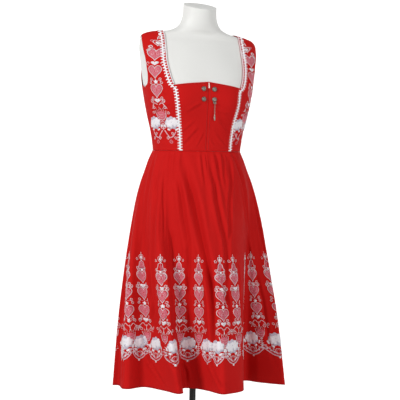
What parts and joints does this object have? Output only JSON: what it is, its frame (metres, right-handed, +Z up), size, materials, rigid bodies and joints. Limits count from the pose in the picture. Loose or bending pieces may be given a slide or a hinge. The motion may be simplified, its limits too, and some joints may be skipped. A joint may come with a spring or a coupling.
{
  "type": "dirndl on a dress form",
  "caption": "Sleeveless knee-length folk dress with square neckline, lace-edged bodice and embroidered gathered skirt, on a limbless dress form with pole and foot.",
  "frame": {"origin": "middle of the foot plate's underside, on the floor", "axes": "+Z up along the pole, the dress faces -Y, the wearer's right side is -X"},
  "size_m": [0.5177, 0.3919, 1.5038],
  "materials": {
    "bodice_cloth": "plain-woven red cotton, matt with a slight sheen",
    "skirt_cloth": "plain-woven red cotton with white and rose embroidery above the hem",
    "lace": "white cotton lace",
    "zip_tape": "red woven tape",
    "zip_pull": "lacquered",
    "antique_silver": "antiqued, darker in the hollows",
    "form_white": "smooth white jersey cover",
    "stand_black": "black powder coat"
  },
  "bodies": {
    "dress": {"bodice_front_right": "bodice_cloth", "bodice_front_left": "bodice_cloth", "bodice_side_front_right": "bodice_cloth", "bodice_side_front_left": "bodice_cloth", "bodice_back": "bodice_cloth", "skirt_front": "skirt_cloth", "skirt_back": "skirt_cloth", "lace_trim_right": "lace", "lace_trim_left": "lace", "zip_tape": "zip_tape", "zip_slider": "zip_pull", "button_upper_right": "antique_silver", "button_upper_left": "antique_silver", "button_lower_right": "antique_silver", "button_lower_left": "antique_silver", "pendant_hanger": "antique_silver", "form_torso": "form_white", "stand_pole": "stand_black", "stand_base": "stand_black"},
    "pendant": {"pendant": "antique_silver"}
  },
  "joints": [
    {"name": "pendant_swing", "type": "hinge", "parent": "dress", "child": "pendant", "pos_m": [0.0173, -0.10644, 1.1817], "axis": [-1, 0, 0], "range_deg": [0, 140]}
  ]
}
